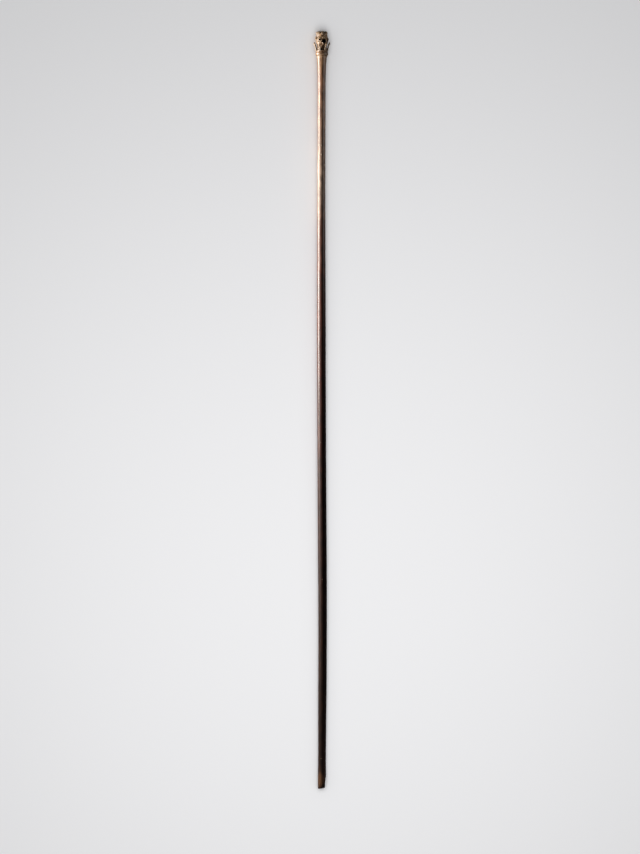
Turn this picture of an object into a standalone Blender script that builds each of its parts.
"""Ceremonial staff, carved in one piece of dark wood and laid down on its back.

The staff is modelled upright, with its foot on the ground and its front facing -Y.
Then it is laid along +Y with its front facing up, where it rests on two tips of the
calyx and on a small worn flat above its foot.
"""
import math

import bmesh
import bpy
from mathutils import Matrix, Vector

# Driving dimensions in metres, with angles in degrees.
LENGTH = 1.500
HEAD_HEIGHT = 0.0535

# Shaft, from the flare under the collar down to the foot.
JOIN_RADIUS = 0.0099
FLARE_HEIGHT = 0.020
UPPER_RADIUS = 0.0078
MIDDLE_RADIUS = 0.0086
LOWER_RADIUS = 0.0083
ANKLE_RADIUS = 0.0077
FOOT_RADIUS = 0.0081
FOOT_HEIGHT = 0.048
BOW_LEFT = 0.0011
BOW_RIGHT = 0.0015
SHAFT_RINGS = 44
SHAFT_SIDES = 24

# Foot: rounded and slanted end, chips out of its sides, and what lying wears flat.
FOOT_ROUNDING = 0.0010
FOOT_SLANT = 11.0
CHIP_DEPTH = 0.0025
CHIP_HEIGHT = 0.026
SCUFF_DEPTH = 0.0007
SCUFF_HEIGHT = 0.018
REST_WEAR = 0.0002

# Collar and calyx.
COLLAR_HEIGHT = 0.0125
COLLAR_RADIUS = 0.0118
RING_RADIUS = 0.0124
RING_HEIGHT = 0.0057
FILLET_HEIGHT = 0.0035
FILLET_RADIUS = 0.0107
CUP_DEPTH = 0.0016
NECK_RADIUS = 0.0096
PRONG_ANGLES = (-22.0, 35.0, 97.0, 153.0, -153.0, -83.0)
PRONG_RADIUS = 0.0018
PRONG_HEIGHT = 0.0168
PRONG_GAP = 0.0014
PRONG_LEAN = 1.2
FRONT_DROP = 0.0050

# Head: the beast looks a little to the side. A place is its share of the way from the top to the rim.
LOOK_ANGLE = 24.0
SKULL_RADIUS = 0.0116
SKULL_SHARE = 0.61
SKULL_PLACE = 0.500
EAR_REACH = 0.0148
EAR_PLACE = 0.429
EAR_SIZE = (0.0034, 0.0042, 0.0030)
EAR_SCOOP = (0.0019, 0.0024, 0.0017)
BROW_PLACE = 0.312
BROW_DROP = 0.0036
BROW_RADIUS = 0.0015
CHEEK_PLACE = 0.610
CHEEK_ANGLE = 62.0
CHEEK_SIZE = (0.0034, 0.0030, 0.0042)
MUZZLE_RADIUS = 0.0030
MUZZLE_ANGLE = 17.0
NOSE_SIZE = (0.0026, 0.0030, 0.0026)
CHIN_SIZE = (0.0036, 0.0036, 0.0022)
MOUTH_WIDTH = 0.0076
MOUTH_HEIGHT = 0.0080
MOUTH_DEPTH = 0.0095
MOUTH_PLACE = 0.537
LIP_RADIUS = 0.0011
EYE_RADIUS = 0.0014
EYE_DEPTH = 0.0036
EYE_ANGLE = 44.0
EYE_PLACE = 0.466
EYELID_RADIUS = 0.0007
NOSTRIL_PLACE = 0.380
NOSTRIL_SIZE = (0.0010, 0.0024, 0.0009)
THROAT_PLACE = 0.693
THROAT_SIZE = (0.0014, 0.0040, 0.0012)

# Mane and crown of curls.
LOCK_COUNT = 11
LOCK_START = 112.0
LOCK_RADIUS = 0.0014
LOCK_SWAY = 2.5
CURL_COUNT = 7
CURL_TURN = 9.4
CURL_RADIUS = 0.0038
CURL_HEIGHT = 0.0088
CURL_RING_RADIUS = 0.0081
CROWN_RADIUS = 0.0101
CROWN_TILT = 0.0021

# Surface of the carving.
VOXEL = 0.00060
HEAD_TRIANGLES = 6300

WOOD_COLOUR = (0.060, 0.022, 0.011, 1.0)
WOOD_ROUGHNESS = 0.38

# Distances below the top that follow from these.
RIM_DOWN = HEAD_HEIGHT - COLLAR_HEIGHT
SKULL_HEIGHT = SKULL_SHARE * RIM_DOWN
SKULL_DOWN = SKULL_PLACE * RIM_DOWN
CREST_DOWN = SKULL_DOWN - 0.34 * SKULL_HEIGHT
EAR_DOWN = EAR_PLACE * RIM_DOWN
BROW_DOWN = BROW_PLACE * RIM_DOWN
CHEEK_DOWN = CHEEK_PLACE * RIM_DOWN
MOUTH_DOWN = MOUTH_PLACE * RIM_DOWN
EYE_DOWN = EYE_PLACE * RIM_DOWN
NOSTRIL_DOWN = NOSTRIL_PLACE * RIM_DOWN
THROAT_DOWN = THROAT_PLACE * RIM_DOWN
PRONG_REACH = SKULL_RADIUS + PRONG_GAP + 2.0 * PRONG_RADIUS


def clear_scene():
    """Remove what the scene holds, the startup cube with it."""
    for old in list(bpy.data.objects):
        bpy.data.objects.remove(old, do_unlink=True)


def new_collection(name):
    """Add a collection to the scene."""
    collection = bpy.data.collections.new(name)
    bpy.context.scene.collection.children.link(collection)
    return collection


def add_object(data, name, collection):
    """Put a mesh or a curve in the scene as an object."""
    thing = bpy.data.objects.new(name, data)
    collection.objects.link(thing)
    return thing


def evaluated_mesh(thing):
    """Give an object's shape, modifiers and all, as a new mesh."""
    bpy.context.view_layer.update()
    graph = bpy.context.evaluated_depsgraph_get()
    return bpy.data.meshes.new_from_object(thing.evaluated_get(graph))


def apply_modifiers(thing):
    """Turn an object's modifiers into its own mesh."""
    mesh = evaluated_mesh(thing)
    thing.modifiers.clear()
    thing.data = mesh
    return thing


def join(things, name, collection):
    """Join objects into one, whose bodies still overlap."""
    shape = bmesh.new()
    for thing in things:
        shape.from_mesh(thing.data)
        bpy.data.objects.remove(thing, do_unlink=True)
    mesh = bpy.data.meshes.new(name)
    shape.to_mesh(mesh)
    shape.free()
    return add_object(mesh, name, collection)


def combine(thing, other, operation):
    """Unite an object with another one, or cut the other one out of it."""
    boolean = thing.modifiers.new("boolean", "BOOLEAN")
    boolean.operation = operation
    boolean.solver = "EXACT"
    boolean.object = other
    return apply_modifiers(thing)


def around(angle, out, down):
    """Give a point by its angle from the front, distance from the axis and distance below the top."""
    turn = math.radians(angle)
    return Vector((out * math.sin(turn), -out * math.cos(turn), LENGTH - down))


def egg(collection, angle, out, down, size, lean=0.0, sides=20):
    """Add an egg that faces away from the axis, by its half widths across, outwards and upwards."""
    shape = bmesh.new()
    bmesh.ops.create_uvsphere(shape, u_segments=sides, v_segments=sides // 2, radius=1.0)
    stretch = Matrix.Diagonal((*size, 1.0))
    tip = Matrix.Rotation(math.radians(lean), 4, "X")
    turn = Matrix.Rotation(math.radians(angle), 4, "Z")
    place = Matrix.Translation(around(angle, out, down))
    bmesh.ops.transform(shape, matrix=place @ turn @ tip @ stretch, verts=shape.verts)
    mesh = bpy.data.meshes.new("egg")
    shape.to_mesh(mesh)
    shape.free()
    return add_object(mesh, "egg", collection)


def rod(collection, points, radii, resolution=4):
    """Add a round bar through points, with a radius at each of them."""
    curve = bpy.data.curves.new("rod", "CURVE")
    curve.dimensions = "3D"
    curve.bevel_depth = 1.0
    curve.bevel_resolution = resolution
    curve.use_fill_caps = True
    line = curve.splines.new("POLY")
    line.points.add(len(points) - 1)
    for knot, point, radius in zip(line.points, points, radii):
        knot.co = (*point, 1.0)
        knot.radius = radius
    guide = add_object(curve, "rod", collection)
    mesh = evaluated_mesh(guide)
    bpy.data.objects.remove(guide, do_unlink=True)
    shape = bmesh.new()
    shape.from_mesh(mesh)
    bmesh.ops.remove_doubles(shape, verts=shape.verts, dist=0.00001)
    bmesh.ops.recalc_face_normals(shape, faces=shape.faces)
    shape.to_mesh(mesh)
    shape.free()
    return add_object(mesh, "rod", collection)


def turned(collection, outline, steps=48):
    """Turn an outline of (radius, distance below the top) pairs, given from the top down."""
    mesh = bpy.data.meshes.new("turned")
    points = [(radius, 0.0, LENGTH - down) for radius, down in outline]
    edges = [(index, index + 1) for index in range(len(points) - 1)]
    mesh.from_pydata(points, edges, [])
    thing = add_object(mesh, "turned", collection)
    screw = thing.modifiers.new("turn", "SCREW")
    screw.steps = steps
    screw.render_steps = steps
    screw.use_merge_vertices = True
    screw.merge_threshold = 0.00001
    return apply_modifiers(thing)


def smooth_step(value):
    """Ease from 0 to 1."""
    value = min(max(value, 0.0), 1.0)
    return value * value * (3.0 - 2.0 * value)


def bell(value):
    """Give a soft hump that is 1 at 0 and falls away on both sides."""
    return math.exp(-value * value)


def shaft_radius(height):
    """Give the shaft's radius: a flare under the collar, a slow swell to the middle, a slight ankle."""
    share = height / LENGTH
    upper = smooth_step((share - 0.60) / 0.22)
    lower = smooth_step((0.30 - share) / 0.16)
    ankle = smooth_step((0.14 - share) / 0.09)
    foot = smooth_step((FOOT_HEIGHT - height) / (0.5 * FOOT_HEIGHT))
    flare = math.exp((height - LENGTH + HEAD_HEIGHT) / FLARE_HEIGHT)
    radius = MIDDLE_RADIUS
    radius += (UPPER_RADIUS - MIDDLE_RADIUS) * upper
    radius += (LOWER_RADIUS - MIDDLE_RADIUS) * lower
    radius += (ANKLE_RADIUS - LOWER_RADIUS) * ankle
    radius += (FOOT_RADIUS - ANKLE_RADIUS) * foot
    return radius + (JOIN_RADIUS - UPPER_RADIUS) * min(flare, 1.0)


def shaft_offset(height):
    """Give the wood's sideways bow: to the left above its middle and to the right below it."""
    share = height / LENGTH
    return BOW_RIGHT * bell((share - 0.22) / 0.143) - BOW_LEFT * bell((share - 0.70) / 0.232)


def make_shaft(collection):
    """Make the shaft from its worn foot to inside the collar."""
    top = LENGTH - HEAD_HEIGHT + RING_HEIGHT
    heights = [0.0, 0.3 * FOOT_ROUNDING, FOOT_ROUNDING]
    for index in range(1, SHAFT_RINGS + 1):
        share = index / SHAFT_RINGS
        heights.append(FOOT_ROUNDING + (top - FOOT_ROUNDING) * (0.4 * share + 0.6 * smooth_step(share)))
    heights.append(LENGTH - HEAD_HEIGHT - 0.25 * FILLET_HEIGHT)
    heights.sort()
    points = [(shaft_offset(height), 0.0, height) for height in heights]
    radii = [shaft_radius(height) for height in heights]
    radii[0] -= FOOT_ROUNDING
    radii[1] -= 0.3 * FOOT_ROUNDING
    shaft = rod(collection, points, radii, SHAFT_SIDES // 2 - 2)
    slant = math.tan(math.radians(FOOT_SLANT))
    for vertex in shaft.data.vertices:
        fade = max(0.0, 1.0 - vertex.co.z / FOOT_HEIGHT)
        vertex.co.z += fade * slant * (vertex.co.x + FOOT_RADIUS)
    return shaft


def make_chips(collection):
    """Make the cutters for the chip out of the foot's right side and the scuff on its left front."""
    reach = 3.0 * CHIP_DEPTH
    size = (2.0 * FOOT_RADIUS, reach, 1.15 * CHIP_HEIGHT)
    chip = egg(collection, 90.0, FOOT_RADIUS + reach - CHIP_DEPTH, LENGTH - 0.1 * CHIP_HEIGHT, size)
    reach = 4.0 * SCUFF_DEPTH
    size = (0.7 * FOOT_RADIUS, reach, 0.8 * SCUFF_HEIGHT)
    scuff = egg(collection, -38.0, FOOT_RADIUS + reach - SCUFF_DEPTH, LENGTH - SCUFF_HEIGHT, size)
    return [chip, scuff]


def make_collar(collection):
    """Turn the collar: the cup that the prongs stand on, a band, a ring and a fillet below it."""
    rim = RIM_DOWN
    ring_bottom = HEAD_HEIGHT - FILLET_HEIGHT
    ring_top = ring_bottom - RING_HEIGHT
    outline = [
        (0.0, rim),
        (NECK_RADIUS, rim + 0.2 * CUP_DEPTH),
        (COLLAR_RADIUS - 0.5 * CUP_DEPTH, rim - 0.2 * CUP_DEPTH),
        (COLLAR_RADIUS, rim),
        (COLLAR_RADIUS - 0.0003, 0.5 * (rim + ring_top)),
        (COLLAR_RADIUS, ring_top),
        (RING_RADIUS, ring_top + 0.12 * RING_HEIGHT),
        (RING_RADIUS + 0.0001, ring_top + 0.5 * RING_HEIGHT),
        (RING_RADIUS - 0.0001, ring_bottom - 0.12 * RING_HEIGHT),
        (FILLET_RADIUS - 0.0004, ring_bottom),
        (FILLET_RADIUS, ring_bottom + 0.25 * FILLET_HEIGHT),
        (FILLET_RADIUS - 0.0001, ring_bottom + 0.75 * FILLET_HEIGHT),
        (JOIN_RADIUS, HEAD_HEIGHT),
        (0.0, HEAD_HEIGHT),
    ]
    return turned(collection, outline)


def make_prongs(collection):
    """Make the calyx: six upright prongs that lean outwards around the neck."""
    pieces = []
    foot = RIM_DOWN + PRONG_RADIUS
    for angle in PRONG_ANGLES:
        drop = FRONT_DROP * max(0.0, math.cos(math.radians(angle))) ** 1.5
        tip = RIM_DOWN - PRONG_HEIGHT + drop
        points = []
        radii = []
        for share in (0.0, 0.25, 0.5, 0.75, 1.0):
            out = COLLAR_RADIUS + (PRONG_REACH - COLLAR_RADIUS) * share ** PRONG_LEAN
            points.append(around(angle, out - PRONG_RADIUS, foot + (tip - foot) * share))
            radii.append(PRONG_RADIUS * (1.02 - 0.10 * math.sin(math.pi * share)))
        pieces.append(rod(collection, points, radii))
        size = (PRONG_RADIUS * 1.08, PRONG_RADIUS * 1.05, PRONG_RADIUS * 1.2)
        bud_down = tip + 0.5 * PRONG_RADIUS
        pieces.append(egg(collection, angle, PRONG_REACH - PRONG_RADIUS, bud_down, size, 0.0, 12))
    return pieces


def ring(collection, angle, out, down, across, upwards, thickness, count=20):
    """Add a rounded rim, such as a lip, that lies on the surface around a hollow."""
    points = []
    for index in range(count + 1):
        turn = 2.0 * math.pi * index / count
        aside = math.degrees(across * math.sin(turn) / out)
        points.append(around(angle + aside, out, down - upwards * math.cos(turn)))
    return rod(collection, points, [thickness] * (count + 1))


def make_face(collection):
    """Make the beast's head: skull, ears, brows, eyelids, cheeks, nose, lips and chin."""
    look = LOOK_ANGLE
    neck_outline = [
        (0.0, SKULL_DOWN),
        (NECK_RADIUS, SKULL_DOWN + 0.2 * NECK_RADIUS),
        (NECK_RADIUS, RIM_DOWN + CUP_DEPTH),
        (0.0, RIM_DOWN + CUP_DEPTH),
    ]
    skull = (SKULL_RADIUS, SKULL_RADIUS, 0.5 * SKULL_HEIGHT)
    pieces = [turned(collection, neck_outline, 32)]
    pieces.append(egg(collection, 0.0, 0.0, SKULL_DOWN, skull, 0.0, 28))
    for side in (-1.0, 1.0):
        ear_out = EAR_REACH - EAR_SIZE[1]
        pieces.append(egg(collection, look + side * 90.0, ear_out, EAR_DOWN, EAR_SIZE, -20.0))
        cheek_out = SKULL_RADIUS - 1.1 * CHEEK_SIZE[1]
        pieces.append(egg(collection, look + side * CHEEK_ANGLE, cheek_out, CHEEK_DOWN, CHEEK_SIZE))
        muzzle = (MUZZLE_RADIUS, MUZZLE_RADIUS, MUZZLE_RADIUS)
        muzzle_down = NOSTRIL_DOWN + 0.67 * MUZZLE_RADIUS
        muzzle_out = SKULL_RADIUS - 0.67 * MUZZLE_RADIUS
        pieces.append(egg(collection, look + side * MUZZLE_ANGLE, muzzle_out, muzzle_down, muzzle))
        eye = look + side * EYE_ANGLE
        eye_out = SKULL_RADIUS - 0.2 * EYE_RADIUS
        lid = (1.6 * EYE_RADIUS, 1.35 * EYE_RADIUS, EYELID_RADIUS)
        pieces.append(ring(collection, eye, eye_out, EYE_DOWN, *lid))
        brow = []
        for share in (0.0, 0.25, 0.5, 0.75, 1.0):
            down = BROW_DOWN + BROW_DROP * smooth_step(share)
            out = SKULL_RADIUS - (0.40 - 0.25 * share) * BROW_RADIUS
            brow.append(around(look + side * 1.5 * EYE_ANGLE * share, out, down))
        thickness = [BROW_RADIUS * share for share in (1.0, 0.93, 0.87, 0.80, 0.67)]
        pieces.append(rod(collection, brow, thickness))
    pieces.append(egg(collection, look, SKULL_RADIUS - 0.27 * NOSE_SIZE[1], NOSTRIL_DOWN, NOSE_SIZE))
    lip = (0.5 * MOUTH_WIDTH + 0.7 * LIP_RADIUS, 0.5 * MOUTH_HEIGHT + 0.7 * LIP_RADIUS)
    pieces.append(ring(collection, look, SKULL_RADIUS - 0.5 * LIP_RADIUS, MOUTH_DOWN, *lip, LIP_RADIUS))
    chin_down = MOUTH_DOWN + 0.5 * MOUTH_HEIGHT + CHIN_SIZE[2]
    pieces.append(egg(collection, look - 4.0, SKULL_RADIUS - 0.95 * CHIN_SIZE[1], chin_down, CHIN_SIZE))
    return pieces


def make_mane(collection):
    """Make the mane: locks that run from the crown down the back and sides into the calyx."""
    pieces = []
    for index in range(LOCK_COUNT):
        share = index / (LOCK_COUNT - 1)
        angle = LOOK_ANGLE + LOCK_START + (360.0 - 2.0 * LOCK_START) * share
        points = []
        radii = []
        for step in range(9):
            along = step / 8
            down = CREST_DOWN + (RIM_DOWN - CREST_DOWN) * along
            level = min(1.0, abs(down - SKULL_DOWN) / (0.5 * SKULL_HEIGHT))
            out = max(SKULL_RADIUS * math.sqrt(1.0 - level * level), NECK_RADIUS)
            out -= LOCK_RADIUS * (0.35 + 0.6 * smooth_step(3.0 * along))
            sway = LOCK_SWAY * math.sin(2.0 * math.pi * (along + 0.5 * (index % 2)))
            points.append(around(angle + sway, out, down))
            radii.append(LOCK_RADIUS * (0.75 + 0.35 * math.sin(math.pi * along)))
        pieces.append(rod(collection, points, radii))
    return pieces


def make_crown(collection):
    """Make the crown: a ring of curls around a low dome, tilted down towards the face."""
    size = (CROWN_RADIUS, CROWN_RADIUS, 0.85 * CURL_HEIGHT)
    pieces = [egg(collection, 0.0, 0.0, 1.1 * CURL_HEIGHT, size, 0.0, 24)]
    for index in range(CURL_COUNT):
        angle = CURL_TURN + index * 360.0 / CURL_COUNT
        down = 0.5 * CURL_HEIGHT + CROWN_TILT * (1.0 + math.cos(math.radians(angle)))
        size = (CURL_RADIUS, 0.95 * CURL_RADIUS, 0.5 * CURL_HEIGHT)
        pieces.append(egg(collection, angle, CURL_RING_RADIUS, down, size, -12.0))
    return pieces


def make_hollows(collection):
    """Make the cutters for the mouth, the drilled eyes, the ears, the throat and the nostril."""
    look = LOOK_ANGLE
    mouth = (0.5 * MOUTH_WIDTH, MOUTH_DEPTH, 0.5 * MOUTH_HEIGHT)
    cutters = [egg(collection, look, SKULL_RADIUS + 0.05 * MOUTH_HEIGHT, MOUTH_DOWN, mouth)]
    for side in (-1.0, 1.0):
        hole = (EYE_RADIUS, EYE_DEPTH, EYE_RADIUS)
        cutters.append(egg(collection, look + side * EYE_ANGLE, SKULL_RADIUS, EYE_DOWN, hole, 0.0, 12))
        scoop_out = EAR_REACH - 0.17 * EAR_SCOOP[1]
        cutters.append(egg(collection, look + side * 80.0, scoop_out, EAR_DOWN, EAR_SCOOP, 0.0, 12))
    throat_out = NECK_RADIUS + 0.3 * THROAT_SIZE[1]
    cutters.append(egg(collection, look + 7.0, throat_out, THROAT_DOWN, THROAT_SIZE, 0.0, 12))
    nostril_out = SKULL_RADIUS + 0.67 * NOSTRIL_SIZE[1]
    cutters.append(egg(collection, look, nostril_out, NOSTRIL_DOWN, NOSTRIL_SIZE, 0.0, 12))
    return cutters


def make_head(collection):
    """Carve the head: its masses run into each other, then the hollows are cut out of it."""
    masses = [make_collar(collection)]
    masses += make_prongs(collection)
    masses += make_face(collection)
    masses += make_mane(collection)
    masses += make_crown(collection)
    head = join(masses, "head", collection)
    remesh = head.modifiers.new("fuse", "REMESH")
    remesh.mode = "VOXEL"
    remesh.voxel_size = VOXEL
    soften = head.modifiers.new("soften", "SMOOTH")
    soften.factor = 0.5
    soften.iterations = 2
    apply_modifiers(head)
    thin = head.modifiers.new("thin", "DECIMATE")
    thin.ratio = HEAD_TRIANGLES / sum(len(face.vertices) - 2 for face in head.data.polygons)
    apply_modifiers(head)
    for cutter in make_hollows(collection):
        combine(head, cutter, "DIFFERENCE")
        bpy.data.objects.remove(cutter, do_unlink=True)
    return head


def lowest(mesh, start, end):
    """Give the lowest vertex of a mesh between two places along the staff."""
    inside = [vertex.co for vertex in mesh.vertices if start < vertex.co.y < end]
    return min(inside, key=lambda point: point.z)


def lay_down(mesh):
    """Lay the staff on its back, tilted so that head and foot rest on the ground together."""
    mesh.transform(Matrix.Rotation(math.radians(-90.0), 4, "X"))
    head = lowest(mesh, LENGTH - HEAD_HEIGHT, LENGTH + 1.0)
    foot = lowest(mesh, 0.3 * FOOT_HEIGHT, 2.0 * FOOT_HEIGHT)
    tilt = math.atan2(foot.z - head.z, head.y - foot.y)
    mesh.transform(Matrix.Rotation(tilt, 4, "X"))
    xs = [vertex.co.x for vertex in mesh.vertices]
    ys = [vertex.co.y for vertex in mesh.vertices]
    zs = [vertex.co.z for vertex in mesh.vertices]
    middle = Vector(((min(xs) + max(xs)) / 2.0, (min(ys) + max(ys)) / 2.0, min(zs) + REST_WEAR))
    mesh.transform(Matrix.Translation(-middle))


def make_ground(collection):
    """Make the cutter that wears flat what the staff lies on."""
    depth = 0.02
    shape = bmesh.new()
    bmesh.ops.create_cube(shape, size=1.0)
    bmesh.ops.scale(shape, vec=(0.2, 2.0 * LENGTH, depth), verts=shape.verts)
    bmesh.ops.translate(shape, vec=(0.0, 0.0, -0.5 * depth), verts=shape.verts)
    mesh = bpy.data.meshes.new("ground")
    shape.to_mesh(mesh)
    shape.free()
    return add_object(mesh, "ground", collection)


def put_in_order(elements, place):
    """Sort vertices or faces by their place, so that every run numbers them alike."""
    rank = {element: number for number, element in enumerate(sorted(elements, key=place))}
    elements.sort(key=lambda element: rank[element])


def close_seams(mesh):
    """Merge the slivers that the cuts left and turn the faces outwards."""
    shape = bmesh.new()
    shape.from_mesh(mesh)
    put_in_order(shape.verts, lambda vertex: vertex.co[:])
    put_in_order(shape.faces, lambda face: face.calc_center_median()[:])
    bmesh.ops.triangulate(shape, faces=shape.faces)
    bmesh.ops.dissolve_degenerate(shape, dist=0.00002, edges=shape.edges)
    bmesh.ops.triangulate(shape, faces=shape.faces)
    bmesh.ops.recalc_face_normals(shape, faces=shape.faces)
    shape.to_mesh(mesh)
    shape.free()


def wood():
    """Make the dark, dully polished wood."""
    material = bpy.data.materials.new("dark wood")
    material.use_nodes = True
    shader = material.node_tree.nodes["Principled BSDF"]
    shader.inputs["Base Color"].default_value = WOOD_COLOUR
    shader.inputs["Roughness"].default_value = WOOD_ROUGHNESS
    shader.inputs["Metallic"].default_value = 0.0
    return material


def main():
    """Build the staff."""
    clear_scene()
    parts = new_collection("Ceremonial staff")
    cutters = new_collection("Cutters")
    staff = make_shaft(parts)
    chips = make_chips(cutters)
    for chip in chips:
        combine(staff, chip, "DIFFERENCE")
    head = make_head(cutters)
    combine(staff, head, "UNION")
    lay_down(staff.data)
    ground = make_ground(cutters)
    combine(staff, ground, "DIFFERENCE")
    for cutter in (*chips, head, ground):
        bpy.data.objects.remove(cutter, do_unlink=True)
    close_seams(staff.data)
    staff.name = "staff"
    staff.data.name = "staff"
    staff.data.materials.clear()
    staff.data.materials.append(wood())
    staff.data.shade_smooth()
    staff.data.set_sharp_from_angle(angle=math.radians(50.0))


main()
